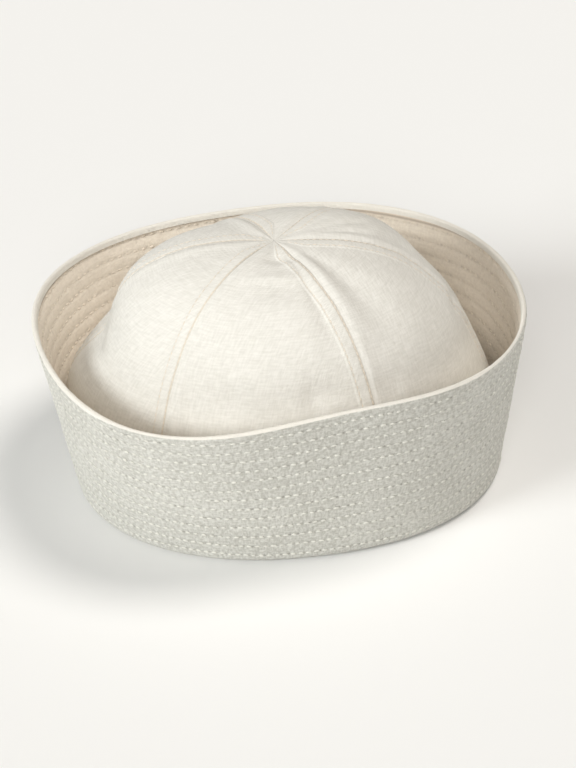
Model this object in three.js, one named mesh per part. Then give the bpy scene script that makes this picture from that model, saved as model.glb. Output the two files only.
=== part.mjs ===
// A soft cotton sailor cap, in millimetres with +Z up.
// The front looks along -Y, the long way of the head lies along Y, and the cap rests on Z = 0
// on the fold of its brim. A turn is an angle in degrees about Z, from +X towards +Y.

import * as THREE from "three";

// Head oval, at the floor corner of the turned-up brim
const BASE_HALF_LENGTH = 105;
const BASE_HALF_WIDTH = 87.4;
const BASE_WAVES = [
  { waves: 2, cosine: -0.011, sine: -0.001 },
  { waves: 3, cosine: -0.011, sine: -0.014 },
];

// Where the middle of the floor oval lies, so that the cap's box is centred on the Z axis
const BASE_CENTRE_X = 4.5;
const BASE_CENTRE_Y = 0.4;

// Turned-up brim: slant width, fold at the floor, rolled hem at the rim, and how far the wall leans out
const BRIM_WIDTH = 89.9;
const WIDTH_WAVES = [
  { waves: 1, cosine: -0.015, sine: 0.019 },
  { waves: 2, cosine: 0.005, sine: 0.008 },
  { waves: 3, cosine: 0.005, sine: 0.014 },
];
const FOLD_RADIUS = 4.8;
const FOOT_WIDTH = 3.4;
const INNER_PLY_START = 0.35;
const HEM_WIDTH = 2;
const LEAN_MEAN = 13.3;
const LEAN_WAVES = [
  { waves: 1, cosine: -4, sine: -1.1 },
  { waves: 2, cosine: 1.4, sine: -1.1 },
  { waves: 3, cosine: 1.2, sine: -0.1 },
  { waves: 4, cosine: -1.5, sine: -1.8 },
];

// Cloth
const PLY = 1;
const CROWN_CLOTH = 1.4;
const GAP = 0.3;
const CROWN_GAP = 0.45;

// Crown: a flat-topped dome that is tucked in at the floor and fuller above it
const CROWN_HEIGHT = 130.3;
const CROWN_HALF_LENGTH = 109.6;
const CROWN_HALF_WIDTH = 90;
const DOME_SIDE_POWER = 2.9;
const DOME_TOP_POWER = 2.1;
const SHOULDER_HEIGHT = 0.8;
const TUCK_HEIGHT = 31;
const CROWN_INSET = 0.4;
const TIP_REACH = 0.012;

// Soft bulges and hollows of the crown: push in millimetres, height and tall as shares of the crown's height,
// turn and wide in degrees
const DENTS = [
  { place: "front bulge above the brim", turn: 268, height: 0.42, push: 2.9, wide: 20, tall: 0.11 },
  { place: "front hollow", turn: 263, height: 0.66, push: -7.3, wide: 20, tall: 0.11 },
  { place: "front left shoulder", turn: 222, height: 0.93, push: -2.2, wide: 27, tall: 0.11 },
  { place: "left top", turn: 156, height: 0.95, push: 1.8, wide: 27, tall: 0.11 },
  { place: "back left top", turn: 123, height: 0.93, push: 3.6, wide: 22, tall: 0.11 },
  { place: "back shoulder", turn: 105, height: 0.8, push: -1.4, wide: 20, tall: 0.11 },
  { place: "back", turn: 93, height: 0.52, push: -2.3, wide: 20, tall: 0.16 },
  { place: "right top hollow", turn: 4, height: 0.965, push: -2.4, wide: 26, tall: 0.03 },
  { place: "right back fold", turn: 52, height: 0.88, push: -1.8, wide: 9, tall: 0.12 },
];
const DENT_FADE_REACH = 0.4;
const TOP_PUSH_UP = 0.9;

// Flat-felled seams between the gores: where they run down the crown, and the raised band on their near side
const SEAM_TURNS = [35, 93, 147, 208, 268, 322];
const SEAM_BAND = 7.2;
const SEAM_BAND_SLOPE = 0.8;
const SEAM_RAISE = 0.5;
const GORE_PUFF = 0.8;
const MOST_BAND_SHARE = 0.36;
const MOST_SLOPE_SHARE = 0.42;

// Facets
const BRIM_STEPS = 84;
const FOLD_STEPS = 4;
const WALL_STEPS = 4;
const ROLL_STEPS = 5;
const GORE_ROWS = 14;
const GORE_MIDDLE_STEPS = 6;
const SLOPE_STEP = 0.001;

// Cotton colours
const CROWN_COLOUR = "#f0ede4";
const BRIM_OUTER_COLOUR = "#e9e8e0";
const BRIM_INNER_COLOUR = "#e6ddcd";
const COTTON_ROUGHNESS = 0.92;

const PLY_DEPTH = PLY + GAP;
const ROLL_RADIUS = (3 * PLY + 2 * GAP) / 2;
const CROWN_FOOT = PLY + CROWN_GAP;

const { degToRad, euclideanModulo, smoothstep, lerp } = THREE.MathUtils;

function sumOfWaves(table, turn) {
  return table.reduce((sum, row) => {
    const angle = degToRad(turn * row.waves);
    return sum + row.cosine * Math.cos(angle) + row.sine * Math.sin(angle);
  }, 0);
}

function ovalReach(halfLength, halfWidth, turn) {
  const angle = degToRad(turn);
  return (halfLength * halfWidth) / Math.hypot(halfLength * Math.cos(angle), halfWidth * Math.sin(angle));
}

function pointAt(turn, reach, height) {
  const angle = degToRad(turn);
  return new THREE.Vector3(
    BASE_CENTRE_X + reach * Math.cos(angle),
    BASE_CENTRE_Y + reach * Math.sin(angle),
    height,
  );
}

// The brim's upright section at one turn. Depth is measured in from the outer face of the outer ply.
function brimSection(turn) {
  const lean = degToRad(LEAN_MEAN + sumOfWaves(LEAN_WAVES, turn));
  const corner = ovalReach(BASE_HALF_LENGTH, BASE_HALF_WIDTH, turn) * (1 + sumOfWaves(BASE_WAVES, turn));
  const sweep = Math.PI / 2 - lean;
  const setback = FOLD_RADIUS * Math.tan(sweep / 2);
  const width = BRIM_WIDTH * (1 + sumOfWaves(WIDTH_WAVES, turn));
  const wall = width - setback - ROLL_RADIUS;
  return { lean, sweep, wall, footEdge: corner - setback };
}

function footPoint(section, inward, depth) {
  return { reach: section.footEdge - inward, height: depth };
}

function foldPoint(section, share, depth) {
  const radius = FOLD_RADIUS - depth;
  const angle = section.sweep * share;
  return {
    reach: section.footEdge + radius * Math.sin(angle),
    height: FOLD_RADIUS - radius * Math.cos(angle),
  };
}

function wallPoint(section, climb, depth) {
  const start = foldPoint(section, 1, depth);
  return {
    reach: start.reach + climb * Math.sin(section.lean),
    height: start.height + climb * Math.cos(section.lean),
  };
}

function rollPoint(section, share, radius) {
  const centre = wallPoint(section, section.wall, ROLL_RADIUS);
  const outward = radius * Math.cos(Math.PI * share);
  const upward = radius * Math.sin(Math.PI * share);
  return {
    reach: centre.reach + outward * Math.cos(section.lean) + upward * Math.sin(section.lean),
    height: centre.height - outward * Math.sin(section.lean) + upward * Math.cos(section.lean),
  };
}

// Evenly spaced numbers from one value to another, both ends included
function spread(from, to, steps) {
  return Array.from({ length: steps + 1 }, (_, step) => lerp(from, to, step / steps));
}

// The outer ply, round its closed section: under the crown, up the outside, over the rim and down inside
function outerPlyProfile(turn) {
  const section = brimSection(turn);
  const { wall } = section;
  const lipInside = 2 * ROLL_RADIUS - PLY;
  const outside = [
    footPoint(section, FOOT_WIDTH, 0),
    ...spread(0, 1, FOLD_STEPS).map((share) => foldPoint(section, share, 0)),
    ...spread(0, wall, WALL_STEPS).slice(1).map((climb) => wallPoint(section, climb, 0)),
    ...spread(0, 1, ROLL_STEPS).slice(1).map((share) => rollPoint(section, share, ROLL_RADIUS)),
    wallPoint(section, wall - HEM_WIDTH, 2 * ROLL_RADIUS),
  ];
  const inside = [
    wallPoint(section, wall - HEM_WIDTH, lipInside),
    ...spread(1, 0, ROLL_STEPS).map((share) => rollPoint(section, share, ROLL_RADIUS - PLY)),
    ...spread(wall, 0, WALL_STEPS).slice(1).map((climb) => wallPoint(section, climb, PLY)),
    ...spread(1, 0, FOLD_STEPS).slice(1).map((share) => foldPoint(section, share, PLY)),
    footPoint(section, FOOT_WIDTH, PLY),
  ];
  return [...outside, ...inside];
}

// The inner ply, round its closed section: from the fold up to the space under the hem and back
function innerPlyProfile(turn) {
  const section = brimSection(turn);
  const top = section.wall - GAP;
  const face = (depth, upwards) => {
    const points = [
      ...spread(INNER_PLY_START, 1, FOLD_STEPS - 1).map((share) => foldPoint(section, share, depth)),
      ...spread(0, top, WALL_STEPS).slice(1).map((climb) => wallPoint(section, climb, depth)),
    ];
    return upwards ? points : points.reverse();
  };
  return [...face(PLY_DEPTH, true), ...face(PLY_DEPTH + PLY, false)];
}

function geometryOf(points, triangles) {
  const geometry = new THREE.BufferGeometry();
  geometry.setFromPoints(points);
  geometry.setIndex(triangles);
  geometry.computeVertexNormals();
  return geometry;
}

// A closed band right round the cap, from its section at each turn.
// Both faces are split along the same diagonal, so that plies that lie together stay apart.
function ringGeometry(profileAt) {
  const turns = spread(0, 360, BRIM_STEPS).slice(0, BRIM_STEPS);
  const rings = turns.map((turn) => profileAt(turn).map(({ reach, height }) => pointAt(turn, reach, height)));
  const count = rings[0].length;
  const triangles = [];
  for (let step = 0; step < BRIM_STEPS; step += 1) {
    const here = step * count;
    const next = ((step + 1) % BRIM_STEPS) * count;
    for (let row = 0; row < count; row += 1) {
      const after = (row + 1) % count;
      const rising = rings[step][after].z >= rings[step][row].z;
      if (rising) {
        triangles.push(here + row, next + row, next + after);
        triangles.push(here + row, next + after, here + after);
      } else {
        triangles.push(here + row, next + row, here + after);
        triangles.push(next + row, next + after, here + after);
      }
    }
  }
  return geometryOf(rings.flat(), triangles);
}

// How far the crown's dents move the cloth out of the plain dome
function dentPush(turn, heightShare, reachShare) {
  const push = DENTS.reduce((sum, dent) => {
    const across = (euclideanModulo(turn - dent.turn + 180, 360) - 180) / dent.wide;
    const along = (heightShare - dent.height) / dent.tall;
    return sum + dent.push * Math.exp(-across * across - along * along);
  }, 0);
  return push * smoothstep(reachShare, 0, DENT_FADE_REACH);
}

// A point of the dome: climb 0 is the lower edge, 0.5 the shoulder, 1 the gores' tips
function domePoint(turn, climb) {
  const shoulderReach = (1 - SHOULDER_HEIGHT ** DOME_TOP_POWER) ** (1 / DOME_SIDE_POWER);
  let heightShare = 2 * climb * SHOULDER_HEIGHT;
  let reachShare = (1 - heightShare ** DOME_TOP_POWER) ** (1 / DOME_SIDE_POWER);
  if (climb > 0.5) {
    reachShare = lerp(shoulderReach, TIP_REACH, 2 * climb - 1);
    heightShare = (1 - reachShare ** DOME_SIDE_POWER) ** (1 / DOME_TOP_POWER);
  }
  const height = lerp(CROWN_FOOT, CROWN_HEIGHT, heightShare);
  const tuck = Math.exp(-((height / TUCK_HEIGHT) ** 2));
  const fullReach = ovalReach(CROWN_HALF_LENGTH, CROWN_HALF_WIDTH, turn);
  const footReach = brimSection(turn).footEdge - CROWN_INSET;
  const push = dentPush(turn, heightShare, reachShare);
  const pushUp = TOP_PUSH_UP * heightShare * heightShare;
  const pushOut = Math.sqrt(1 - pushUp * pushUp);
  const reach = lerp(fullReach, footReach, tuck) * reachShare + push * pushOut;
  return pointAt(turn, reach, height + push * pushUp);
}

function domeNormal(turn, climb) {
  const degrees = 360 * SLOPE_STEP;
  const below = Math.max(climb - SLOPE_STEP, 0);
  const above = Math.min(climb + SLOPE_STEP, 1);
  const across = domePoint(turn + degrees, climb).sub(domePoint(turn - degrees, climb));
  const upwards = domePoint(turn, above).sub(domePoint(turn, below));
  return across.cross(upwards).normalize();
}

// Columns across a gore at one height, as shares of its width, with the seam band's lift at its far edge
function goreColumns(reach, widthTurn) {
  const width = reach * degToRad(widthTurn);
  const edge = GAP / 2 / width;
  const band = Math.min(SEAM_BAND / width, MOST_BAND_SHARE);
  const slope = Math.min((SEAM_BAND + SEAM_BAND_SLOPE) / width, MOST_SLOPE_SHARE);
  const middle = spread(edge, 1 - slope, GORE_MIDDLE_STEPS);
  return [
    ...middle.map((share) => ({ share, lift: 0 })),
    { share: 1 - band, lift: SEAM_RAISE },
    { share: 1 - edge, lift: SEAM_RAISE },
  ];
}

// One gore: a curved wedge of cloth between two seams, closed round its edges
function goreGeometry(startTurn, endTurn) {
  const widthTurn = endTurn - startTurn;
  const outside = [];
  const inside = [];
  for (const climb of spread(0, 1, GORE_ROWS)) {
    const middle = domePoint(startTurn + widthTurn / 2, climb);
    const reach = Math.hypot(middle.x - BASE_CENTRE_X, middle.y - BASE_CENTRE_Y);
    const puff = GORE_PUFF * Math.sin(Math.PI * climb);
    for (const { share, lift } of goreColumns(reach, widthTurn)) {
      const turn = startTurn + widthTurn * share;
      const skin = domePoint(turn, climb);
      const normal = domeNormal(turn, climb);
      const rise = puff * Math.sin(Math.PI * share);
      outside.push(skin.clone().addScaledVector(normal, rise + lift));
      inside.push(skin.clone().addScaledVector(normal, rise - CROWN_CLOTH));
    }
  }
  return closedSheet(outside, inside, GORE_ROWS + 1);
}

// A closed solid between two like grids of points, the first facing out
function closedSheet(outside, inside, rows) {
  const columns = outside.length / rows;
  const back = outside.length;
  const triangles = [];
  const quad = (a, b, c, d) => triangles.push(a, b, c, a, c, d);
  for (let row = 0; row + 1 < rows; row += 1) {
    const first = row * columns;
    const last = first + columns - 1;
    for (let corner = first; corner < last; corner += 1) {
      const above = corner + columns;
      quad(corner, corner + 1, above + 1, above);
      quad(back + corner, back + above, back + above + 1, back + corner + 1);
    }
    quad(first, first + columns, back + first + columns, back + first);
    quad(last, back + last, back + last + columns, last + columns);
  }
  const topRow = (rows - 1) * columns;
  for (let column = 0; column + 1 < columns; column += 1) {
    const top = topRow + column;
    quad(column, back + column, back + column + 1, column + 1);
    quad(top, top + 1, back + top + 1, back + top);
  }
  return geometryOf([...outside, ...inside], triangles);
}

function clothPiece(name, geometry, color) {
  const material = new THREE.MeshStandardMaterial({ color, roughness: COTTON_ROUGHNESS, metalness: 0 });
  const mesh = new THREE.Mesh(geometry, material);
  mesh.name = name;
  return mesh;
}

const cap = new THREE.Group();
cap.name = "sailor_cap";

SEAM_TURNS.forEach((startTurn, index) => {
  const nextTurn = SEAM_TURNS[(index + 1) % SEAM_TURNS.length];
  const endTurn = nextTurn > startTurn ? nextTurn : nextTurn + 360;
  cap.add(clothPiece(`crown_gore_${index + 1}`, goreGeometry(startTurn, endTurn), CROWN_COLOUR));
});
cap.add(clothPiece("brim_outer", ringGeometry(outerPlyProfile), BRIM_OUTER_COLOUR));
cap.add(clothPiece("brim_inner", ringGeometry(innerPlyProfile), BRIM_INNER_COLOUR));

export default cap;
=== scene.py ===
import math

import bpy
import numpy as np
from mathutils import Matrix, Vector, noise


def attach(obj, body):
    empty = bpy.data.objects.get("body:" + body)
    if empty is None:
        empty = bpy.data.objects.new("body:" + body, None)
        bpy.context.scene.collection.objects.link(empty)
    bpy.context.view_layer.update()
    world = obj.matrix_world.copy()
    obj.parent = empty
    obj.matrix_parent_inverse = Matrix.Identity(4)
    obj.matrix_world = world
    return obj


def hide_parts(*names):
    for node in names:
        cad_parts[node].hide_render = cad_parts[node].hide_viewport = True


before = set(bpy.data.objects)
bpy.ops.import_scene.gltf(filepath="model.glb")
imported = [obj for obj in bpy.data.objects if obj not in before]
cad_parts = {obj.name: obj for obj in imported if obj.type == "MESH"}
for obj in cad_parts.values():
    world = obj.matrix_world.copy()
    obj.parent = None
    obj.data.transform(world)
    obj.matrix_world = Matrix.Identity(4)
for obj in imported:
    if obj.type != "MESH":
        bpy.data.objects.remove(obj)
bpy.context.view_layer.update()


# Outer ply of the brim
# One layer of cream-white cotton twill. It starts under the crown's lower edge, folds up at the floor,
# leans outwards and rolls over the rim as a narrow hem. Rows of topstitching quilt it to the ply inside it.

MM = 0.001
CAP_CENTRE = np.array([4.5, 0.4]) * MM
FLOOR_HALF_LENGTH = 105 * MM
FLOOR_HALF_WIDTH = 87.4 * MM
BRIM_WIDTH = 89.9 * MM
BRIM_LEAN = 13.3
FOLD_RADIUS = 4.8 * MM
FOOT_WIDTH = 3.4 * MM
HEM_WIDTH = 2 * MM
PLY = 1 * MM
PLY_GAP = 0.3 * MM
RIM_PRESS = 0.72
RIM_PRESS_START = 0.86
ROLL_RADIUS = (1.5 * PLY + PLY_GAP) * RIM_PRESS

# How the outline, the width and the lean change round the cap: waves per round, cosine part, sine part
FLOOR_WAVES = ((2, -0.011, -0.001), (3, -0.011, -0.014))
WIDTH_WAVES = ((1, -0.015, 0.019), (2, 0.005, 0.008), (3, 0.005, 0.014))
LEAN_WAVES = ((1, -4, -1.1), (2, 1.4, -1.1), (3, 1.2, -0.1), (4, -1.5, -1.8))


def wave_sum(waves, turn):
    return sum(cosine * np.cos(count * turn) + sine * np.sin(count * turn) for count, cosine, sine in waves)


def oval_reach(half_length, half_width, turn):
    return half_length * half_width / np.hypot(half_length * np.cos(turn), half_width * np.sin(turn))


def floor_reach(turn):
    return oval_reach(FLOOR_HALF_LENGTH, FLOOR_HALF_WIDTH, turn) * (1 + wave_sum(FLOOR_WAVES, turn))


# Places round the brim are shares of its length, so that columns and stitches keep an even pitch
ROUND_STEPS = 2000
ROUND_TURNS = np.linspace(0, math.tau, ROUND_STEPS + 1)
ROUND_OUTLINE = floor_reach(ROUND_TURNS) * np.exp(1j * ROUND_TURNS)
ROUND_LENGTHS = np.concatenate([[0], np.cumsum(np.abs(np.diff(ROUND_OUTLINE)))])
FLOOR_LENGTH = ROUND_LENGTHS[-1]


def turn_at(share):
    return np.interp(np.mod(share, 1), ROUND_LENGTHS / FLOOR_LENGTH, ROUND_TURNS)


def smooth(value, low, high):
    part = np.clip((value - low) / (high - low), 0, 1)
    return part * part * (3 - 2 * part)


def brim_point(share, zone, along, depth):
    """A point of the brim's upright section and the outward direction there, as reach + height * 1j.

    The zones run from under the crown over the rim, along is a share of the zone, depth goes in from outside.
    The layers are pressed together towards the rim."""
    turn = turn_at(share)
    pressed = smooth(along, RIM_PRESS_START, 1) if zone == "wall" else float(zone in ("roll", "lip"))
    depth = depth * (1 - (1 - RIM_PRESS) * pressed)
    lean = np.radians(BRIM_LEAN + wave_sum(LEAN_WAVES, turn))
    sweep = math.pi / 2 - lean
    setback = FOLD_RADIUS * np.tan(sweep / 2)
    wall = BRIM_WIDTH * (1 + wave_sum(WIDTH_WAVES, turn)) - setback - ROLL_RADIUS
    outward = np.exp(-1j * lean)
    upward = 1j * outward
    foot_edge = floor_reach(turn) - setback
    fold_centre = foot_edge + 1j * FOLD_RADIUS
    roll_centre = fold_centre + (FOLD_RADIUS - ROLL_RADIUS) * outward + wall * upward
    if zone == "foot":
        return foot_edge - FOOT_WIDTH * (1 - along) + 1j * depth, -1j + 0 * turn
    if zone == "fold":
        facing = -1j * np.exp(1j * sweep * along)
        return fold_centre + (FOLD_RADIUS - depth) * facing, facing
    if zone == "wall":
        return fold_centre + (FOLD_RADIUS - depth) * outward + wall * along * upward, outward
    if zone == "roll":
        facing = outward * np.exp(1j * math.pi * along)
        return roll_centre + (ROLL_RADIUS - depth) * facing, facing
    return roll_centre - (ROLL_RADIUS - depth) * outward - HEM_WIDTH * along * upward, -outward


def placed(turn, section_point):
    """Turns reach and height at a turn into points of the cap."""
    reach = section_point.real
    across = CAP_CENTRE[0] + reach * np.cos(turn)
    lengthwise = CAP_CENTRE[1] + reach * np.sin(turn)
    return np.stack([across, lengthwise, section_point.imag + 0 * turn], axis=-1)


def soft_noise(points, size):
    """Smooth noise from -1 to 1 over points, in lumps of about the given size."""
    lumps = points.reshape(-1, 3) / size
    return np.array([noise.noise(lump) for lump in lumps]).reshape(points.shape[:-1])


# The rows of topstitching: each is one line of lockstitch right round the brim, through both plies.
# Each row starts a share of a stitch later than the row below it, so that the stitches do not line up.
STITCH_ROWS = 13
LOWEST_ROW = 0.02
HIGHEST_ROW = 0.955
ROW_STEP = (HIGHEST_ROW - LOWEST_ROW) / (STITCH_ROWS - 1)
ROW_SHIFT = 0.382
ROW_STITCHES = 160
ROW_WANDER = 0.09
ROW_WAVES = 3
ROW_RIPPLES = 7
ROW_RIPPLE_START = 0.3
MEAN_WALL = BRIM_WIDTH - FOLD_RADIUS - ROLL_RADIUS
STITCH_PITCH = FLOOR_LENGTH / ROW_STITCHES
ROW_SPACING = ROW_STEP * MEAN_WALL

# The welts between the rows: how high the cloth stands, how wide a row's groove is, and its needle holes.
# The cloth is flatter on the hem.
WELT_HEIGHT = 0.2 * MM
WELT_LEVEL = 0.5
GROOVE_WIDTH = 1.1 * MM
HOLE_DEPTH = 0.22 * MM
HOLE_WIDTH = 0.8 * MM
PUCKER_HEIGHT = 0.26 * MM
PUCKER_SIZE = 4.5 * MM
WAVINESS = 0.3 * MM
WAVINESS_SIZE = 24 * MM
HEM_FLATNESS = 0.7
HEM_FLAT_START = 0.98
HEM_FLAT_FULL = 1.03


def row_wander(share):
    waves = np.sin(math.tau * ROW_WAVES * share)
    ripples = np.sin(math.tau * (ROW_RIPPLES * share + ROW_RIPPLE_START))
    return ROW_WANDER * (waves + ripples)


def row_height(share, row):
    return LOWEST_ROW + ROW_STEP * (row - row_wander(share))


def row_at(share, height):
    """The row that passes a place of the wall, as a number with its fraction."""
    return (height - LOWEST_ROW) / ROW_STEP + row_wander(share)


def quilting(share, height):
    """How far stitching lifts the cloth at a share of the way round and a share of the wall's height."""
    place = row_at(share, height)
    row = np.clip(np.round(place), 0, STITCH_ROWS - 1)
    across = (place - row) * ROW_SPACING
    stitch = share * ROW_STITCHES + row * ROW_SHIFT
    along = (stitch - np.round(stitch)) * STITCH_PITCH
    groove = np.exp(-(across / GROOVE_WIDTH) ** 2)
    hole = np.exp(-(across / HOLE_WIDTH) ** 2 - (along / HOLE_WIDTH) ** 2)
    return WELT_HEIGHT * (WELT_LEVEL - groove) - HOLE_DEPTH * hole


def wall_height(zone, along):
    """How high a place of the brim is, as a share of the wall; the fold is below 0 and the hem above 1."""
    arc = FOLD_RADIUS * math.pi / 2 / MEAN_WALL
    heights = {
        "foot": -arc,
        "fold": (along - 1) * arc,
        "wall": along,
        "roll": 1 + along * arc,
        "lip": 1 + arc,
    }
    return heights[zone]


def ply_skin(share, zone, along, depth, side):
    """Points of a ply's quilted face; side is 1 for a face that looks out and -1 for one that looks in."""
    turn = turn_at(share)
    point, facing = brim_point(share, zone, along, depth)
    plain = placed(turn, point)
    if zone == "foot":
        return plain
    height = wall_height(zone, along) + 0 * share
    hem = smooth(height, HEM_FLAT_START, HEM_FLAT_FULL)
    fade = smooth(height, wall_height("foot", 0), LOWEST_ROW) * (1 - HEM_FLATNESS * hem)
    lift = quilting(share, height)
    lift = lift + PUCKER_HEIGHT * soft_noise(plain, PUCKER_SIZE) + WAVINESS * soft_noise(plain, WAVINESS_SIZE)
    return placed(turn, point + side * fade * lift * facing)


def zone_rows(zone, start, end, steps, depth):
    return [(zone, along, depth) for along in np.linspace(start, end, steps + 1)]


SHARP_ANGLE = math.radians(60)


def cloth_object(name, points, maps, material, caps=()):
    """A mesh from a grid of points that closes round its columns.

    Each UV map has one more column than the points, and one more row if the grid also closes upwards."""
    rows, columns = points.shape[:2]
    steps_up = maps["cloth"].shape[0] - 1
    row, column = np.meshgrid(np.arange(steps_up), np.arange(columns), indexing="ij")
    above = (row + 1) % rows
    beside = (column + 1) % columns
    corners = [
        row * columns + column,
        row * columns + beside,
        above * columns + beside,
        above * columns + column,
    ]
    faces = np.stack(corners, axis=-1).reshape(-1, 4)
    if len(caps):
        faces = np.concatenate([faces, caps])
    mesh = bpy.data.meshes.new(name)
    mesh.from_pydata(points.reshape(-1, 3), [], faces)
    for map_name, flat in maps.items():
        places = [flat[row, column], flat[row, column + 1], flat[row + 1, column + 1], flat[row + 1, column]]
        uv = np.stack(places, axis=-2).reshape(-1, 2)
        if len(caps):
            uv = np.concatenate([uv, flat[:rows, :columns].reshape(-1, 2)[caps].reshape(-1, 2)])
        mesh.uv_layers.new(name=map_name).uv.foreach_set("vector", uv.astype(np.float32).ravel())
    mesh.shade_smooth()
    mesh.set_sharp_from_angle(angle=SHARP_ANGLE)
    mesh.materials.append(material)
    piece = bpy.data.objects.new(name, mesh)
    bpy.context.scene.collection.objects.link(piece)
    return piece


class Shade:
    """A socket of a material's node tree. Arithmetic on it adds the Math nodes that it needs."""

    def __init__(self, tree, socket=None):
        self.tree = tree
        self.socket = socket

    def node(self, kind, settings, sockets):
        made = self.tree.nodes.new(kind)
        for name, value in settings.items():
            setattr(made, name, value)
        for name, value in sockets.items():
            if isinstance(value, Shade):
                self.tree.links.new(value.socket, made.inputs[name])
            else:
                made.inputs[name].default_value = value
        return Shade(self.tree, made.outputs[0] if made.outputs else None)

    def output(self, name):
        return Shade(self.tree, self.socket.node.outputs[name])

    def math(self, operation, first, second=0.0):
        return self.node("ShaderNodeMath", {"operation": operation}, {0: first, 1: second})

    def sine(self):
        return self.math("SINE", self)

    def rounded(self):
        return self.math("ROUND", self)

    def exponential(self):
        return self.math("EXPONENT", self)

    def bell(self):
        return (0 - self * self).exponential()

    def rise(self, low, high):
        """From 0 at the low value to 1 at the high one, eased at both ends."""
        sockets = {"Value": self, "From Min": low, "From Max": high}
        return self.node("ShaderNodeMapRange", {"interpolation_type": "SMOOTHSTEP"}, sockets)

    def __lt__(self, other):
        return self.math("LESS_THAN", self, other)

    def __gt__(self, other):
        return self.math("GREATER_THAN", self, other)

    def __add__(self, other):
        return self.math("ADD", self, other)

    def __mul__(self, other):
        return self.math("MULTIPLY", self, other)

    def __sub__(self, other):
        return self.math("SUBTRACT", self, other)

    def __rsub__(self, other):
        return self.math("SUBTRACT", other, self)

    __radd__ = __add__


# The cloth: a twill with yarns about half a millimetre apart, grained by uneven yarns and faintly blotched.
# The shares say how much the twill, the yarns and the blotches count in its colour and its relief.
YARN_PITCH = 0.55 * MM
YARN_RELIEF = 0.35 * MM
YARN_WIDTH = 1.1 * MM
YARN_DETAIL = 2.0
BLOTCH_SIZE = 30 * MM
BLOTCH_DETAIL = 3.0
TWILL_UP = 0.6
TWILL_DOWN = 0.25
TWILL_COLOUR = 0.1
TWILL_RELIEF = 0.25
GRAIN_COLOUR = 3
BLOTCH_COLOUR = 0.9
NOISE_MIDDLE = 0.5
COTTON_ROUGHNESS = 0.92
COTTON_SPECULAR = 0.15
COTTON_SHEEN = 0.12
COTTON_SHEEN_ROUGHNESS = 0.5
HOLE_MARK = 0.6 * MM
# Painted highlight on the rolled rim: where it starts above the top row, how far it shifts round, how fast it
# fades in
RIM_HIGHLIGHT_START = 0.66
RIM_HIGHLIGHT_SWING = 0.14
RIM_HIGHLIGHT_FADE = 0.15


def new_material(name):
    """An empty material and the start of its shader."""
    material = bpy.data.materials.new(name)
    material.use_nodes = True
    material.node_tree.nodes.clear()
    return material, Shade(material.node_tree)


def mixed(start, amount, first, second):
    """A colour between two others; only its three colour sockets are used of the Mix node's many."""
    made = start.node("ShaderNodeMix", {"data_type": "RGBA"}, {0: amount})
    node = made.socket.node
    for socket, value in ((node.inputs[6], first), (node.inputs[7], second)):
        if isinstance(value, Shade):
            start.tree.links.new(value.socket, socket)
        else:
            socket.default_value = (*value, 1)
    return Shade(start.tree, node.outputs[2])


def map_place(start, map_name):
    """The place across and up one of the cloth's UV maps."""
    place = start.node("ShaderNodeUVMap", {"uv_map": map_name}, {})
    split = start.node("ShaderNodeSeparateXYZ", {}, {"Vector": place})
    return split.output("X"), split.output("Y")


def needle_hole_shade(start):
    """Painted shade in the needle holes of the brim: from 0 away from a hole to 1, or less in a tight hole.
    """
    around, place = map_place(start, "rows")
    row = place.rounded()
    stitch = around + row * ROW_SHIFT
    hole = stitch.rounded()
    along = (stitch - hole) * (STITCH_PITCH / HOLE_MARK)
    across = (place - row) * (ROW_SPACING / HOLE_MARK)
    stitched_part = (row > -0.5) * (row < STITCH_ROWS - 0.5)
    number = start.node("ShaderNodeCombineXYZ", {}, {"X": hole, "Y": row})
    open_share = start.node("ShaderNodeTexWhiteNoise", {"noise_dimensions": "2D"}, {"Vector": number})
    return (0 - along * along - across * across).exponential() * stitched_part * open_share * open_share


def rim_highlight(start):
    """Painted highlight on the rolled edge over the top row of stitches: paler and warmer as if lit from
    above, more at one side.
    """
    around, place = map_place(start, "rows")
    swing = (around * (math.tau / ROW_STITCHES)).sine() * RIM_HIGHLIGHT_SWING
    low = STITCH_ROWS - 1 + RIM_HIGHLIGHT_START
    return (place - swing).rise(low, low + RIM_HIGHLIGHT_FADE)


def uneven_yarns(start, flat, across, along):
    """Lighter and darker lengths of yarn that run one way of the cloth."""
    size = (1 / across, 1 / along, 0)
    place = start.node("ShaderNodeVectorMath", {"operation": "MULTIPLY"}, {0: flat, 1: size})
    return start.node("ShaderNodeTexNoise", {}, {"Vector": place, "Scale": 1.0, "Detail": YARN_DETAIL})


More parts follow.
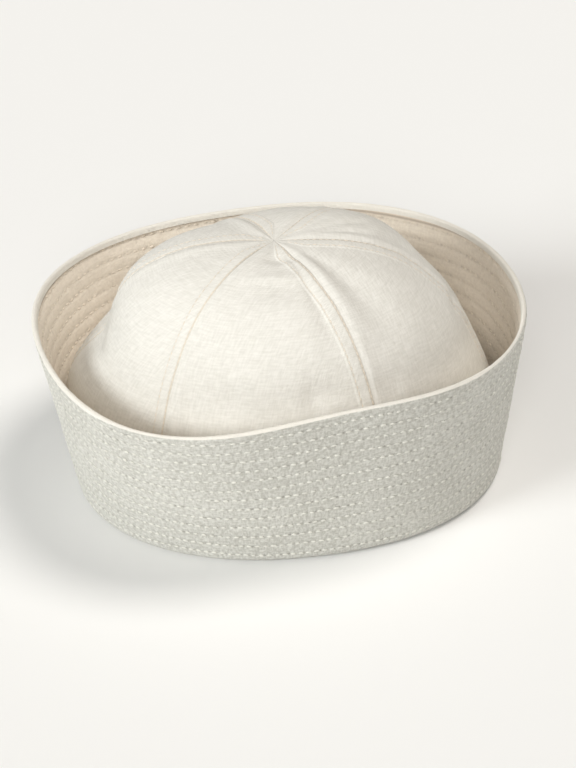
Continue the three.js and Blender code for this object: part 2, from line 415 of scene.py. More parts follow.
def cotton(name, pale, deep, grain, slub_length, marks):
    """Cotton cloth between two colours, with thick places of the given length in its yarns.

    Each mark has a function for its place, a strength and a colour."""
    material, start = new_material(name)
    flat = start.node("ShaderNodeUVMap", {"uv_map": "cloth"}, {})
    split = start.node("ShaderNodeSeparateXYZ", {}, {"Vector": flat})
    across = split.output("X") * (math.tau / YARN_PITCH)
    upward = split.output("Y") * (math.tau / YARN_PITCH)
    twill = (across + upward).sine() * TWILL_UP + (across - upward).sine() * TWILL_DOWN
    warp = uneven_yarns(start, flat, YARN_WIDTH, slub_length)
    weft = uneven_yarns(start, flat, slub_length, YARN_WIDTH)
    grains = warp + weft - NOISE_MIDDLE
    place = start.node("ShaderNodeTexCoord", {}, {}).output("Object")
    blotch_sockets = {"Vector": place, "Scale": 1 / BLOTCH_SIZE, "Detail": BLOTCH_DETAIL}
    blotches = start.node("ShaderNodeTexNoise", {}, blotch_sockets)
    amount = NOISE_MIDDLE + (blotches - NOISE_MIDDLE) * BLOTCH_COLOUR
    amount = amount + (grains - NOISE_MIDDLE) * (GRAIN_COLOUR * grain) + twill * (TWILL_COLOUR * grain)
    colour = mixed(start, amount, pale, deep)
    height = twill * TWILL_RELIEF + grains
    for mark, strength, mark_colour in marks:
        share = mark(start) * strength
        colour = mixed(start, share, colour, mark_colour)
        height = height - share
    relief = start.node("ShaderNodeBump", {}, {"Strength": grain, "Distance": YARN_RELIEF, "Height": height})
    surface = start.node(
        "ShaderNodeBsdfPrincipled",
        {},
        {
            "Base Color": colour,
            "Roughness": COTTON_ROUGHNESS,
            "Specular IOR Level": COTTON_SPECULAR,
            "Sheen Weight": COTTON_SHEEN,
            "Sheen Roughness": COTTON_SHEEN_ROUGHNESS,
            "Normal": relief,
        },
    )
    start.node("ShaderNodeOutputMaterial", {}, {"Surface": surface})
    return material


BRIM_COLUMNS = 640
FOLD_STEPS = 8
WALL_STEPS = 104
ROLL_STEPS = 12
LIP_STEPS = 2
BACK_FOLD_STEPS = 4
BACK_WALL_STEPS = 6
BACK_ROLL_STEPS = 6
OUTER_PALE = (0.714, 0.707, 0.656)
OUTER_DEEP = (0.55, 0.541, 0.49)
OUTER_GRAIN = 0.95
OUTER_SLUB = 2.6 * MM
# Painted shade in the needle holes
OUTER_HOLE_SHADE = (0.24, 0.22, 0.19)
OUTER_HOLE_SHADE_STRENGTH = 0.6
# Painted highlight on the rolled rim, paler and warmer than the cloth
OUTER_RIM_HIGHLIGHT = (0.94, 0.90, 0.82)
OUTER_RIM_HIGHLIGHT_STRENGTH = 0.85
outer_marks = ((needle_hole_shade, OUTER_HOLE_SHADE_STRENGTH, OUTER_HOLE_SHADE), (rim_highlight, OUTER_RIM_HIGHLIGHT_STRENGTH, OUTER_RIM_HIGHLIGHT))
outer_rows = [
    ("foot", 0.0, 0.0),
    *zone_rows("fold", 0, 1, FOLD_STEPS, 0.0),
    *zone_rows("wall", 0, 1, WALL_STEPS, 0.0)[1:],
    *zone_rows("roll", 0, 1, ROLL_STEPS, 0.0)[1:],
    *zone_rows("lip", 0, 1, LIP_STEPS, 0.0)[1:],
]
outer_back_rows = [
    ("lip", 1.0, PLY),
    *zone_rows("roll", 1, 0, BACK_ROLL_STEPS, PLY),
    *zone_rows("wall", 1, 0, BACK_WALL_STEPS, PLY)[1:],
    *zone_rows("fold", 1, 0, BACK_FOLD_STEPS, PLY)[1:],
    ("foot", 0.0, PLY),
]


def ply_object(name, face_rows, back_rows, side, material):
    """A ply as a closed ring: its quilted face, then its plain back, with columns evenly round the brim."""
    share = np.arange(BRIM_COLUMNS) / BRIM_COLUMNS
    layers = [ply_skin(share, zone, along, depth, side) for zone, along, depth in face_rows]
    for zone, along, depth in back_rows:
        section_point = brim_point(share, zone, along, depth)[0]
        layers.append(placed(turn_at(share), section_point))
    points = np.stack(layers)
    step_up = np.linalg.norm(np.diff(points, axis=0, append=points[:1]), axis=-1).mean(axis=1)
    height_on_cloth = np.concatenate([[0], np.cumsum(step_up)])
    ends = np.linspace(0, 1, BRIM_COLUMNS + 1)
    flat = np.stack(np.meshgrid(ends * FLOOR_LENGTH, height_on_cloth), axis=-1)
    heights = [wall_height(zone, along) for zone, along, depth in [*face_rows, *back_rows, face_rows[0]]]
    row_places = np.stack([row_at(ends, height) for height in heights])
    rows = np.stack([ends * ROW_STITCHES + 0 * row_places, row_places], axis=-1)
    return cloth_object(name, points, {"cloth": flat, "rows": rows}, material)


outer_cotton = cotton("Outer brim cotton", OUTER_PALE, OUTER_DEEP, OUTER_GRAIN, OUTER_SLUB, outer_marks)
brim_outer = ply_object("brim_outer_cloth", outer_rows, outer_back_rows, 1, outer_cotton)
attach(brim_outer, "root")
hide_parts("brim_outer")


# Inner ply of the brim
# A second layer of the same twill inside the outer one, tucked under the hem at the rim and into the fold at
# the floor. The same rows of stitching quilt it. Its colour is warmer and lighter than the outer ply's:
# partly the unbleached cloth's own, partly painted warm bounce light that lightens the shade inside the brim.

# Partly the cloth's own colour, partly painted warm bounce light that lightens the shaded inside of the brim
INNER_PALE = (0.97, 0.88, 0.755)
INNER_DEEP = (0.88, 0.79, 0.673)
INNER_GRAIN = 0.75
INNER_SLUB = 2.6 * MM
# Painted shade in the needle holes and, in the same colour, in the rows' grooves
INNER_HOLE_SHADE = (0.35, 0.29, 0.23)
INNER_HOLE_SHADE_STRENGTH = 0.35
HEM_SHADE = (0.38, 0.30, 0.24)
HEM_EDGE_ROW = STITCH_ROWS - 1 + (1 - HEM_WIDTH / MEAN_WALL - HIGHEST_ROW) / ROW_STEP
HEM_SHADE_WIDTH = 0.7 * MM
HEM_SHADE_STRENGTH = 0.7
GROOVE_SHADE_STRENGTH = 0.13


def hem_edge_shadow(start):
    """Painted shadow along the line under the hem's lower edge."""
    place = map_place(start, "rows")[1]
    return ((HEM_EDGE_ROW - place) * (ROW_SPACING / HEM_SHADE_WIDTH)).bell()


def row_groove_shade(start):
    """Painted shade in the groove along each row of stitches."""
    place = map_place(start, "rows")[1]
    return ((place - place.rounded()) * (ROW_SPACING / GROOVE_WIDTH)).bell()


inner_marks = (
    (needle_hole_shade, INNER_HOLE_SHADE_STRENGTH, INNER_HOLE_SHADE),
    (row_groove_shade, GROOVE_SHADE_STRENGTH, INNER_HOLE_SHADE),
    (hem_edge_shadow, HEM_SHADE_STRENGTH, HEM_SHADE),
)
INNER_FOLD_STEPS = 4
INNER_BACK_FOLD_STEPS = 3
INNER_PLY_START = 0.35
INNER_FACE = 2 * PLY + PLY_GAP
INNER_BACK = PLY + PLY_GAP
INNER_TOP = 1 - PLY_GAP / MEAN_WALL
inner_face_rows = [
    *zone_rows("wall", INNER_TOP, 0, WALL_STEPS, INNER_FACE),
    *zone_rows("fold", 1, INNER_PLY_START, INNER_FOLD_STEPS, INNER_FACE)[1:],
]
inner_back_rows = [
    *zone_rows("fold", INNER_PLY_START, 1, INNER_BACK_FOLD_STEPS, INNER_BACK),
    *zone_rows("wall", 0, INNER_TOP, BACK_WALL_STEPS, INNER_BACK)[1:],
]
inner_cotton = cotton("Inner brim cotton", INNER_PALE, INNER_DEEP, INNER_GRAIN, INNER_SLUB, inner_marks)
brim_inner = ply_object("brim_inner_cloth", inner_face_rows, inner_back_rows, -1, inner_cotton)
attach(brim_inner, "root")
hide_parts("brim_inner")


# Topstitching of the brim
# Cotton thread in lockstitch, in rows round the brim from the fold to the rim: white on the outer ply and
# unbleached on the inner one. Each stitch lies in the groove that it pulls into the cloth.

OUTER_THREAD = (0.78, 0.768, 0.705)
INNER_THREAD = (0.85, 0.757, 0.635)
STITCH_LENGTH = 3.2 * MM
STITCH_WIDTH = 1.45 * MM
STITCH_HEIGHT = 0.6 * MM
STITCH_SWING = math.radians(7)
OUTER_STAND = 0.1
INNER_STAND = -0.08
STITCH_SINK = 0.45
SINK_SIZE = 14 * MM
OUTER_SEED = 11
INNER_SEED = 12
THREAD_SHADE = 0.9
THREAD_ROUGHNESS = 0.75
THREAD_SPECULAR = 0.25

# A stitch is a bead one unit wide, made as long, wide and high as it has to be, give or take these shares
BEAD = {"Segments": 6, "Rings": 4, "Radius": 0.5}
LEAST_STITCH = (0.75, 0.65, 0.5)
MOST_STITCH = (1.1, 1.15, 1.3)


def stitch_tree():
    """Geometry Nodes: one short length of thread on each point, laid along its row and flat on its cloth."""
    tree = bpy.data.node_groups.new("Stitches", "GeometryNodeTree")
    inputs = (
        ("Points", "NodeSocketGeometry"),
        ("Length", "NodeSocketFloat"),
        ("Width", "NodeSocketFloat"),
        ("Height", "NodeSocketFloat"),
        ("Swing", "NodeSocketFloat"),
        ("Seed", "NodeSocketInt"),
        ("Thread", "NodeSocketMaterial"),
    )
    for name, kind in inputs:
        tree.interface.new_socket(name, in_out="INPUT", socket_type=kind)
    tree.interface.new_socket("Stitches", in_out="OUTPUT", socket_type="NodeSocketGeometry")
    given = tree.nodes.new("NodeGroupInput").outputs

    def node(kind, settings, sockets):
        made = tree.nodes.new(kind)
        for name, value in settings.items():
            setattr(made, name, value)
        for name, value in sockets.items():
            if isinstance(value, bpy.types.NodeSocket):
                tree.links.new(value, made.inputs[name])
            else:
                made.inputs[name].default_value = value
        return made.outputs[0] if made.outputs else made

    size = node("ShaderNodeCombineXYZ", {}, {"X": given["Length"], "Y": given["Width"], "Z": given["Height"]})
    bead = node("GeometryNodeMeshUVSphere", {}, BEAD)
    bead = node("GeometryNodeSetShadeSmooth", {}, {"Geometry": bead})
    run = node("GeometryNodeInputNamedAttribute", {"data_type": "FLOAT_VECTOR"}, {"Name": "run"})
    lift = node("GeometryNodeInputNamedAttribute", {"data_type": "FLOAT_VECTOR"}, {"Name": "lift"})
    along_row = node("FunctionNodeAlignRotationToVector", {"axis": "X"}, {"Vector": run})
    on_cloth = node(
        "FunctionNodeAlignRotationToVector",
        {"axis": "Z", "pivot_axis": "X"},
        {"Rotation": along_row, "Vector": lift},
    )
    least = node("ShaderNodeMath", {"operation": "MULTIPLY"}, {0: given["Swing"], 1: -1.0})
    swing = node(
        "FunctionNodeRandomValue",
        {"data_type": "FLOAT"},
        {2: least, 3: given["Swing"], "Seed": given["Seed"]},
    )
    uneven = node(
        "FunctionNodeRandomValue",
        {"data_type": "FLOAT_VECTOR"},
        {0: LEAST_STITCH, 1: MOST_STITCH, "Seed": given["Seed"]},
    )
    size = node("ShaderNodeVectorMath", {"operation": "MULTIPLY"}, {0: size, 1: uneven})
    slant = node("FunctionNodeAxisAngleToRotation", {}, {"Axis": (0, 0, 1), "Angle": swing.node.outputs[1]})
    facing = node(
        "FunctionNodeRotateRotation",
        {"rotation_space": "LOCAL"},
        {"Rotation": on_cloth, "Rotate By": slant},
    )
    laid = node(
        "GeometryNodeInstanceOnPoints",
        {},
        {"Points": given["Points"], "Instance": bead, "Rotation": facing, "Scale": size},
    )
    real = node("GeometryNodeRealizeInstances", {}, {"Geometry": laid})
    threaded = node("GeometryNodeSetMaterial", {}, {"Geometry": real, "Material": given["Thread"]})
    node("NodeGroupOutput", {}, {"Stitches": threaded})
    return tree


STITCHES = stitch_tree()


def cotton_thread(name, colour):
    material, start = new_material(name)
    place = start.node("ShaderNodeTexCoord", {}, {}).output("Object")
    fuzz_sockets = {"Vector": place, "Scale": 1 / YARN_WIDTH, "Detail": YARN_DETAIL}
    fuzz = start.node("ShaderNodeTexNoise", {}, fuzz_sockets)
    shaded = tuple(THREAD_SHADE * part for part in colour)
    surface = start.node(
        "ShaderNodeBsdfPrincipled",
        {},
        {
            "Base Color": mixed(start, fuzz, colour, shaded),
            "Roughness": THREAD_ROUGHNESS,
            "Specular IOR Level": THREAD_SPECULAR,
        },
    )
    start.node("ShaderNodeOutputMaterial", {}, {"Surface": surface})
    return material


def stitched(name, middles, runs, lifts, length, width, height, thread, seed):
    """Stitches as one plain mesh, from their middles, the way each runs and the way its cloth faces."""
    points = bpy.data.meshes.new(name)
    points.from_pydata(middles, [], [])
    for attribute, values in (("run", runs), ("lift", lifts)):
        layer = points.attributes.new(attribute, "FLOAT_VECTOR", "POINT")
        layer.data.foreach_set("vector", values.astype(np.float32).ravel())
    piece = bpy.data.objects.new(name, points)
    bpy.context.scene.collection.objects.link(piece)
    growth = piece.modifiers.new("Stitches", "NODES")
    growth.node_group = STITCHES
    given = {
        "Length": length,
        "Width": width,
        "Height": height,
        "Swing": STITCH_SWING,
        "Seed": seed,
        "Thread": thread,
    }
    for item in STITCHES.interface.items_tree:
        if item.in_out == "INPUT" and item.name in given:
            growth[item.identifier] = given[item.name]
    view = bpy.context.evaluated_depsgraph_get()
    grown = bpy.data.meshes.new_from_object(piece.evaluated_get(view))
    piece.modifiers.remove(growth)
    # The first slot is the points' own, which is empty
    grown.materials.pop(index=0)
    piece.data = grown
    return piece


def unit(vectors):
    return vectors / np.linalg.norm(vectors, axis=-1, keepdims=True)


def brim_stitching(name, depth, side, stand_share, thread, seed):
    """All the rows of one face of the brim, each stitch centred between two needle holes."""
    quarter_stitch = 0.25 / ROW_STITCHES
    middles = []
    runs = []
    lifts = []
    for row in range(STITCH_ROWS):
        share = (np.arange(ROW_STITCHES) + 0.5 - row * ROW_SHIFT) / ROW_STITCHES
        height = row_height(share, row)
        here = ply_skin(share, "wall", height, depth, side)
        ahead = ply_skin(share + quarter_stitch, "wall", height, depth, side)
        behind = ply_skin(share - quarter_stitch, "wall", height, depth, side)
        facing = brim_point(share, "wall", height, depth)[1]
        outward = placed(turn_at(share), facing) - placed(turn_at(share), 0 * facing)
        stand = STITCH_HEIGHT * (stand_share + STITCH_SINK * soft_noise(here, SINK_SIZE))
        middles.append(here + side * outward * stand[:, None])
        runs.append(unit(ahead - behind))
        lifts.append(side * unit(outward))
    return stitched(
        name,
        np.concatenate(middles),
        np.concatenate(runs),
        np.concatenate(lifts),
        STITCH_LENGTH,
        STITCH_WIDTH,
        STITCH_HEIGHT,
        thread,
        seed,
    )


white_thread = cotton_thread("White cotton thread", OUTER_THREAD)
outer_stitching = brim_stitching("brim_outer_stitching", 0.0, 1, OUTER_STAND, white_thread, OUTER_SEED)
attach(outer_stitching, "root")
inner_thread = cotton_thread("Unbleached cotton thread", INNER_THREAD)
inner_stitching = brim_stitching(
    "brim_inner_stitching", INNER_FACE, -1, INNER_STAND, inner_thread, INNER_SEED
)
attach(inner_stitching, "root")


# Gores of the crown
# Six wedges of the cream-white twill that make a soft, flat-topped dome. Each lower edge is sewn inside the
# brim's fold, and each edge is folded under its neighbour in a flat-felled seam, which leaves a raised band.

CROWN_PALE = (0.83, 0.81, 0.757)
CROWN_DEEP = (0.72, 0.70, 0.643)
CROWN_GRAIN = 0.55
CROWN_SLUB = 6 * MM
# Painted shade along the seams' rows of stitching
SEAM_ROW_SHADE = (0.64, 0.55, 0.43)
SEAM_ROW_SHADE_STRENGTH = 0.6
CROWN_HEIGHT = 130.3 * MM
CROWN_HALF_LENGTH = 109.6 * MM
CROWN_HALF_WIDTH = 90 * MM
CROWN_GAP = 0.45 * MM
CROWN_FOOT = PLY + CROWN_GAP
CROWN_CLOTH = 1.4 * MM
CROWN_INSET = 0.4 * MM
SIDE_POWER = 2.9
TOP_POWER = 2.1
SHOULDER_HEIGHT = 0.8
SHOULDER_REACH = (1 - SHOULDER_HEIGHT ** TOP_POWER) ** (1 / SIDE_POWER)
TUCK_HEIGHT = 31 * MM
TIP_REACH = 0.004
DENT_FADE_REACH = 0.4
TOP_PUSH_UP = 0.9
SEAM_TURNS = (35, 93, 147, 208, 268, 322)
GORE_PUFF = 0.8 * MM

# Bulges, hollows and creases: turn, height as a share, push in millimetres, wide in degrees, tall as a share
DENTS = (
    (268, 0.42, 2.9, 20, 0.11),
    (263, 0.66, -7.3, 20, 0.11),
    (222, 0.93, -2.2, 27, 0.11),
    (156, 0.95, 1.8, 27, 0.11),
    (123, 0.93, 3.6, 22, 0.11),
    (105, 0.80, -1.4, 20, 0.11),
    (93, 0.52, -2.3, 20, 0.16),
    (4, 0.965, -2.4, 26, 0.03),
    (52, 0.88, -1.8, 9, 0.12),
    (26, 0.91, -1.1, 4, 0.10),
    (42, 0.90, 0.7, 4, 0.10),
    (50, 0.94, -0.7, 6, 0.06),
    (10, 0.9972, -5.2, 28, 0.003),
    (5, 0.979, 1.6, 24, 0.008),
    (279, 0.65, -1.7, 6, 0.035),
    (286, 0.74, -1.5, 6, 0.035),
    (38, 0.63, -0.9, 1.8, 0.05),
    (43, 0.62, -0.8, 2, 0.05),
    (92, 0.70, -1.8, 7, 0.03),
    (115, 0.969, -1.0, 3, 0.02),
    (104, 0.975, -0.9, 3, 0.02),
    (126, 0.993, -0.6, 4, 0.008),
    (343, 0.66, -1.2, 7, 0.05),
    (14, 0.655, -1.5, 2.6, 0.055),
    (20, 0.67, -0.7, 5, 0.05),
    (351, 0.73, 0.8, 8, 0.06),
)


def dome(turn, climb):
    """Points of the crown's plain cloth; climb 0 is the lower edge, 0.5 the shoulder and 1 the top."""
    low = climb <= 0.5
    up = 2 * np.minimum(climb, 0.5) * SHOULDER_HEIGHT
    over = SHOULDER_REACH + (TIP_REACH - SHOULDER_REACH) * (2 * np.maximum(climb, 0.5) - 1)
    height_share = np.where(low, up, (1 - over ** SIDE_POWER) ** (1 / TOP_POWER))
    reach_share = np.where(low, (1 - up ** TOP_POWER) ** (1 / SIDE_POWER), over)
    height = CROWN_FOOT + (CROWN_HEIGHT - CROWN_FOOT) * height_share
    tuck = np.exp(-(height / TUCK_HEIGHT) ** 2)
    full = oval_reach(CROWN_HALF_LENGTH, CROWN_HALF_WIDTH, turn)
    lean = np.radians(BRIM_LEAN + wave_sum(LEAN_WAVES, turn))
    foot = floor_reach(turn) - FOLD_RADIUS * np.tan((math.pi / 2 - lean) / 2) - CROWN_INSET
    push = 0
    for dent_turn, dent_height, dent_push, wide, tall in DENTS:
        across = (np.mod(np.degrees(turn) - dent_turn + 180, 360) - 180) / wide
        upward = (height_share - dent_height) / tall
        push = push + dent_push * MM * np.exp(-across * across - upward * upward)
    push = push * smooth(reach_share, 0, DENT_FADE_REACH)
    push_up = TOP_PUSH_UP * height_share ** 2
    reach = (full + (foot - full) * tuck) * reach_share + push * np.sqrt(1 - push_up ** 2)
    return placed(turn, reach + 1j * (height + push * push_up))


# Flat-felled seam: a raised band on the near side of the seam line, with a row of stitching along each edge
BAND_WIDTH = 7 * MM
BAND_RAISE = 0.46 * MM
BAND_EDGE = 0.6 * MM
SEAM_EDGE_RAISE = 0.25
SEAM_DIP = 0.15 * MM
SEAM_DIP_WIDTH = 3 * BAND_EDGE
SEAM_TUCK = 0.4 * MM
SEAM_GAP = 0.02 * MM
BAND_ROWS = (0.8 * MM, 5.9 * MM)
# How strong the painted shade is along each row of stitching, and how wide
BAND_ROW_SHADE_STRENGTHS = (1, 0.3)
BAND_ROW_SHADE_WIDTH = 0.45 * MM
RIDGE_HEIGHT = 0.85 * MM
RIDGE_PLACE = 3.4 * MM
RIDGE_WIDTH = 3.2 * MM
BAND_GROOVE = 0.18 * MM
BAND_GROOVE_WIDTH = 0.6 * MM
BAND_PUCKER = 0.2 * MM
SEAM_ZONE = 10 * MM
MOST_ZONE_SHARE = 0.6
TUCK_ZONE = 4 * MM
MOST_TUCK_SHARE = 0.25
CREASE_SIZE = 26 * MM
CREASE_HEIGHT = 0.55 * MM
CREASES_FULL = 0.25
CREASES_END = 0.93
RIPPLE_SIZE = 8 * MM
RIPPLE_HEIGHT = 0.12 * MM
FACING_STEP = 0.002


def gore_width(start, end, climb):
    middle = dome(np.full_like(climb, (start + end) / 2), climb)
    return np.hypot(middle[..., 0] - CAP_CENTRE[0], middle[..., 1] - CAP_CENTRE[1]) * (end - start)


def seam_room(width):
    """How much a seam is narrowed, as a share, where the gore is too narrow for it near the top."""
    return np.minimum(1, MOST_ZONE_SHARE * width / SEAM_ZONE)


def gore_skin(start, end, climb, share):
    """The cloth of a gore before its seams, the way it faces, its puff, and the lift of seams and creases."""
    turn = start + (end - start) * share
    above = np.minimum(climb + FACING_STEP, 1)
    below = np.maximum(climb - FACING_STEP, 0)
    skin = dome(turn, climb)
    around = dome(turn + FACING_STEP, climb) - dome(turn - FACING_STEP, climb)
    upward = dome(turn, above) - dome(turn, below)
    facing = unit(np.cross(around, upward))
    width = gore_width(start, end, climb)
    room = seam_room(width)
    to_seam = (1 - share) * width / room
    from_seam = share * width / room
    band_end = smooth(to_seam, BAND_WIDTH - BAND_EDGE, BAND_WIDTH + BAND_EDGE)
    band = smooth(to_seam, 0, BAND_EDGE) * (1 - band_end)
    edge_raise = np.where(to_seam < BAND_WIDTH / 2, SEAM_EDGE_RAISE, 0)
    grooves = sum(np.exp(-((to_seam - row) / BAND_GROOVE_WIDTH) ** 2) for row in BAND_ROWS)
    lift = (edge_raise + (1 - edge_raise) * band) * BAND_RAISE
    lift = lift - grooves * BAND_GROOVE + band * BAND_PUCKER * soft_noise(skin, RIPPLE_SIZE / 2)
    dip = SEAM_DIP * np.exp(-(from_seam / SEAM_DIP_WIDTH) ** 2)
    ridge = RIDGE_HEIGHT * np.exp(-((from_seam - RIDGE_PLACE) / RIDGE_WIDTH) ** 2)
    lift = (lift - dip + ridge) * room
    puff = GORE_PUFF * np.sin(math.pi * climb) * np.sin(math.pi * share)
    creases = CREASE_HEIGHT * soft_noise(skin, CREASE_SIZE) + RIPPLE_HEIGHT * soft_noise(skin, RIPPLE_SIZE)
    creases = creases * smooth(climb, 0, CREASES_FULL) * (1 - smooth(climb, CREASES_END, 1))
    return skin, facing, puff, lift + creases


GORE_STEPS = 100
START_COLUMNS = 12
END_COLUMNS = 24
MIDDLE_COLUMNS = 26


def there_and_back(values):
    """Values across a gore's outside, back across its inside, and the first ones again."""
    return np.concatenate([values, values[:, ::-1], values[:, :1]], axis=1)


def gore_object(name, start, end, material):
    """A gore as a closed shell, with more columns near its seams than between them."""
    climb = np.linspace(0, 1, GORE_STEPS + 1)[:, None]
    width = gore_width(start, end, climb)
    edge = SEAM_GAP / width
    tucked = -SEAM_TUCK / width
    zone = np.minimum(SEAM_ZONE / width, MOST_ZONE_SHARE)
    tuck_zone = np.minimum(TUCK_ZONE / width, MOST_TUCK_SHARE)
    share = np.concatenate(
        [
            tucked + (tuck_zone - tucked) * np.linspace(0, 1, START_COLUMNS),
            tuck_zone + (1 - zone - tuck_zone) * np.linspace(0, 1, MIDDLE_COLUMNS)[1:-1],
            1 - zone + (zone - edge) * np.linspace(0, 1, END_COLUMNS),
        ],
        axis=1,
    )
    skin, facing, puff, lift = gore_skin(start, end, climb + 0 * share, share)
    outside = skin + facing * (puff + lift)[..., None]
    inside = skin + facing * (puff - CROWN_CLOTH)[..., None]
    points = np.concatenate([outside, inside[:, ::-1]], axis=1)
    rows, columns = points.shape[:2]
    step_up = np.linalg.norm(np.diff(skin, axis=0), axis=-1).mean(axis=1)
    height_on_cloth = np.concatenate([[0], np.cumsum(step_up)])[:, None]
    across = there_and_back(share * width)
    flat = np.stack([across, height_on_cloth + 0 * across], axis=-1)
    to_seam = there_and_back((1 - share) * width / seam_room(width))
    seam = np.stack([to_seam, climb + 0 * to_seam], axis=-1)
    near = np.arange(columns // 2 - 1)
    far = columns - 1 - near
    bottom = np.stack([near, far, far - 1, near + 1], axis=-1)
    top = (rows - 1) * columns + bottom[:, ::-1]
    return cloth_object(name, points, {"cloth": flat, "seam": seam}, material, np.concatenate([bottom, top]))


def seam_row_shade(start):
    """Painted shade along the two rows of stitching of a felled seam; strongest along the row by the seam
    line.
    """
    to_seam = map_place(start, "seam")[0]
    rows = 0
    for row, strength in zip(BAND_ROWS, BAND_ROW_SHADE_STRENGTHS):
        rows = rows + ((to_seam - row) * (1 / BAND_ROW_SHADE_WIDTH)).bell() * strength
    return rows


# Painted shade in the seam creases, strongest near the top
SEAM_CREASE_SHADE = (0.42, 0.40, 0.36)
SEAM_CREASE_SHADE_STRENGTH = 0.6
SEAM_CREASE_SHADE_WIDTH = 0.6 * MM
SEAM_CREASE_SHADE_START = 0.62
SEAM_CREASE_SHADE_FULL = 0.85


def seam_crease_shade(start):
    """Painted shade in the line where one gore goes under the next, strongest near the top of the crown."""
    to_seam, climb = map_place(start, "seam")
    near_top = climb.rise(SEAM_CREASE_SHADE_START, SEAM_CREASE_SHADE_FULL)
    return (to_seam * (1 / SEAM_CREASE_SHADE_WIDTH)).bell() * near_top


crown_marks = ((seam_row_shade, SEAM_ROW_SHADE_STRENGTH, SEAM_ROW_SHADE), (seam_crease_shade, SEAM_CREASE_SHADE_STRENGTH, SEAM_CREASE_SHADE))
crown_cotton = cotton("Gore cotton", CROWN_PALE, CROWN_DEEP, CROWN_GRAIN, CROWN_SLUB, crown_marks)
gore_turns = []
for number, start_turn in enumerate(SEAM_TURNS):
    end_turn = (*SEAM_TURNS[1:], SEAM_TURNS[0] + 360)[number]
    gore_turns.append((math.radians(start_turn), math.radians(end_turn)))
    gore = gore_object(f"crown_gore_{number + 1}_cloth", *gore_turns[-1], crown_cotton)
    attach(gore, "root")
    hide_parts(f"crown_gore_{number + 1}")


# Seam stitching of the crown
# Two rows of the unbleached thread down each felled band, one beside the seam line and one near the band's
# far edge, in finer stitches than the brim's.

SEAM_PITCH = 3.1 * MM
SEAM_STITCH = 2.2 * MM
SEAM_THREAD = 0.36 * MM
SEAM_STAND = 0.15 * SEAM_THREAD
SEAM_SEED = 13
SEAM_ROW_START = 0.04
SEAM_ROW_END = 0.965
SEAM_ROW_POINTS = 400
seam_climbs = np.linspace(SEAM_ROW_START, SEAM_ROW_END, SEAM_ROW_POINTS)


def along_line(values, reached, stops):
    """Values along a line at some stops, from the length of line reached at each of its points."""
    return np.stack([np.interp(stops, reached, part) for part in values.T], axis=-1)


seam_middles = []
seam_runs = []
seam_lifts = []
for start_turn, end_turn in gore_turns:
    width = gore_width(start_turn, end_turn, seam_climbs)
    for row_place in BAND_ROWS:
        share = 1 - row_place * seam_room(width) / width
        skin, facing, puff, lift = gore_skin(start_turn, end_turn, seam_climbs, share)
        line = skin + facing * (puff + lift + SEAM_STAND)[:, None]
        reached = np.concatenate([[0], np.cumsum(np.linalg.norm(np.diff(line, axis=0), axis=1))])
        stops = np.arange(SEAM_PITCH, reached[-1], SEAM_PITCH)
        ahead = along_line(line, reached, stops + SEAM_PITCH / 3)
        behind = along_line(line, reached, stops - SEAM_PITCH / 3)
        seam_middles.append(along_line(line, reached, stops))
        seam_runs.append(unit(ahead - behind))
        seam_lifts.append(unit(along_line(facing, reached, stops)))
seam_stitching = stitched(
    "crown_seam_stitching",
    np.concatenate(seam_middles),
    np.concatenate(seam_runs),
    np.concatenate(seam_lifts),
    SEAM_STITCH,
    SEAM_THREAD,
    SEAM_THREAD,
    inner_thread,
    SEAM_SEED,
)
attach(seam_stitching, "root")


# Studio floor, light and camera
# A plain pale floor that curves up far behind the cap, soft lights from the camera's left, its front, above
# and the back right, and a long lens that looks down on the cap from its right side.

FLOOR_COLOUR = (0.9, 0.9, 0.89, 1)
FLOOR_ROUGHNESS = 0.9
FLOOR_REACH = 9
SWEEP_RADIUS = 1
SWEEP_SIDES = 96
SWEEP_STEPS = 12
sweep_turn = np.linspace(0, math.tau, SWEEP_SIDES, endpoint=False)
floor_rings = []
for rise in np.linspace(0, math.pi / 2, SWEEP_STEPS + 1):
    reach = FLOOR_REACH + SWEEP_RADIUS * math.sin(rise)
    height = SWEEP_RADIUS * (1 - math.cos(rise)) + 0 * sweep_turn
    floor_rings.append(np.stack([reach * np.cos(sweep_turn), reach * np.sin(sweep_turn), height], axis=-1))
floor_faces = [tuple(range(SWEEP_SIDES))]
for ring in range(SWEEP_STEPS):
    for side in range(SWEEP_SIDES):
        here = ring * SWEEP_SIDES + side
        beside = ring * SWEEP_SIDES + (side + 1) % SWEEP_SIDES
        floor_faces.append((here, here + SWEEP_SIDES, beside + SWEEP_SIDES, beside))
floor_mesh = bpy.data.meshes.new("Studio floor")
floor_mesh.from_pydata(np.concatenate(floor_rings), [], floor_faces)
floor_mesh.shade_smooth()
floor_paint = bpy.data.materials.new("Pale floor")
floor_paint.use_nodes = True
floor_shader = floor_paint.node_tree.nodes["Principled BSDF"]
floor_shader.inputs["Base Color"].default_value = FLOOR_COLOUR
floor_shader.inputs["Roughness"].default_value = FLOOR_ROUGHNESS
floor_mesh.materials.append(floor_paint)
floor = bpy.data.objects.new("Studio floor", floor_mesh)
bpy.context.scene.collection.objects.link(floor)

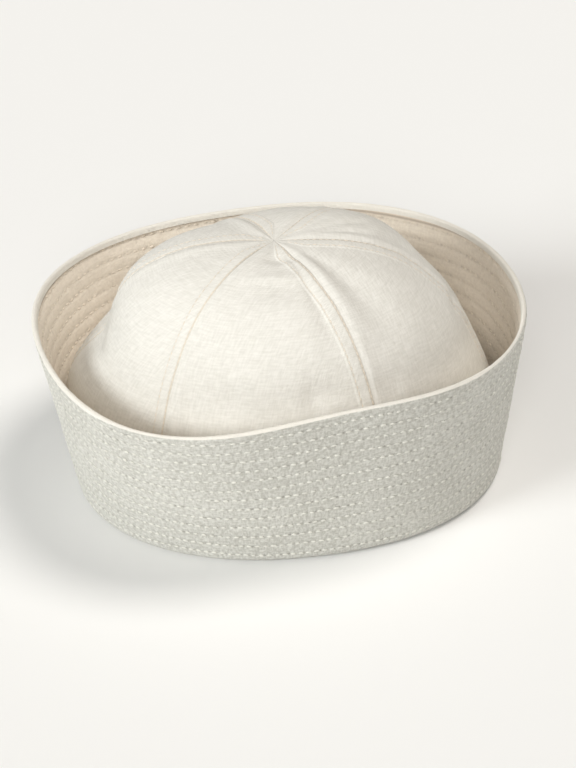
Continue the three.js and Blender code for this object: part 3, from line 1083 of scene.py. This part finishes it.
AIR_COLOUR = (1.0, 0.95, 0.88, 1)
AIR_STRENGTH = 0.12
world = bpy.data.worlds.new("Studio air")
world.use_nodes = True
air = world.node_tree.nodes["Background"]
air.inputs["Color"].default_value = AIR_COLOUR
air.inputs["Strength"].default_value = AIR_STRENGTH
bpy.context.scene.world = world
bpy.context.scene.view_settings.view_transform = "Standard"

LIGHT_SPREAD = math.radians(24)


def soft_light(name, towards, power, colour):
    """An even light from far off, wide enough to leave only soft shadows."""
    lamp = bpy.data.lights.new(name, "SUN")
    lamp.angle = LIGHT_SPREAD
    lamp.energy = power
    lamp.color = colour
    holder = bpy.data.objects.new(name, lamp)
    holder.rotation_euler = (-Vector(towards)).to_track_quat("-Z", "Y").to_euler()
    bpy.context.scene.collection.objects.link(holder)


soft_light("High light", (0.41, -0.23, 0.88), 0.14, (1.0, 0.985, 0.97))
soft_light("Front light", (0.85, 0, 0.53), 1.02, (1.0, 0.98, 0.96))
soft_light("Left light", (0.50, -0.775, 0.385), 1.97, (0.97, 1.0, 1.0))
soft_light("Back right light", (-0.12, 0.38, 0.917), 1.52, (1.0, 0.96, 0.91))

LENS = 143.18
SENSOR_WIDTH = 36
SHIFT_RIGHT = 0.00706
SHIFT_UP = 0.01468
VIEW_TARGET = Vector((4.5, 0.4, 40.8)) * MM
VIEW_DISTANCE = 1.53
VIEW_HEIGHT = math.radians(33)
VIEW_TURN = math.radians(93.161)
VIEW_ROLL = math.radians(-3.186)
camera_data = bpy.data.cameras.new("Camera")
camera_data.lens = LENS
camera_data.sensor_width = SENSOR_WIDTH
camera_data.shift_x = SHIFT_RIGHT
camera_data.shift_y = SHIFT_UP
camera = bpy.data.objects.new("Camera", camera_data)
back = Vector((
    math.sin(VIEW_TURN) * math.cos(VIEW_HEIGHT),
    -math.cos(VIEW_TURN) * math.cos(VIEW_HEIGHT),
    math.sin(VIEW_HEIGHT),
))
right = Vector((math.cos(VIEW_TURN), math.sin(VIEW_TURN), 0))
rolled_right = right * math.cos(VIEW_ROLL) + back.cross(right) * math.sin(VIEW_ROLL)
facing = Matrix((rolled_right, back.cross(rolled_right), back)).transposed().to_4x4()
camera.matrix_world = Matrix.Translation(VIEW_TARGET + back * VIEW_DISTANCE) @ facing
bpy.context.scene.collection.objects.link(camera)
bpy.context.scene.camera = camera
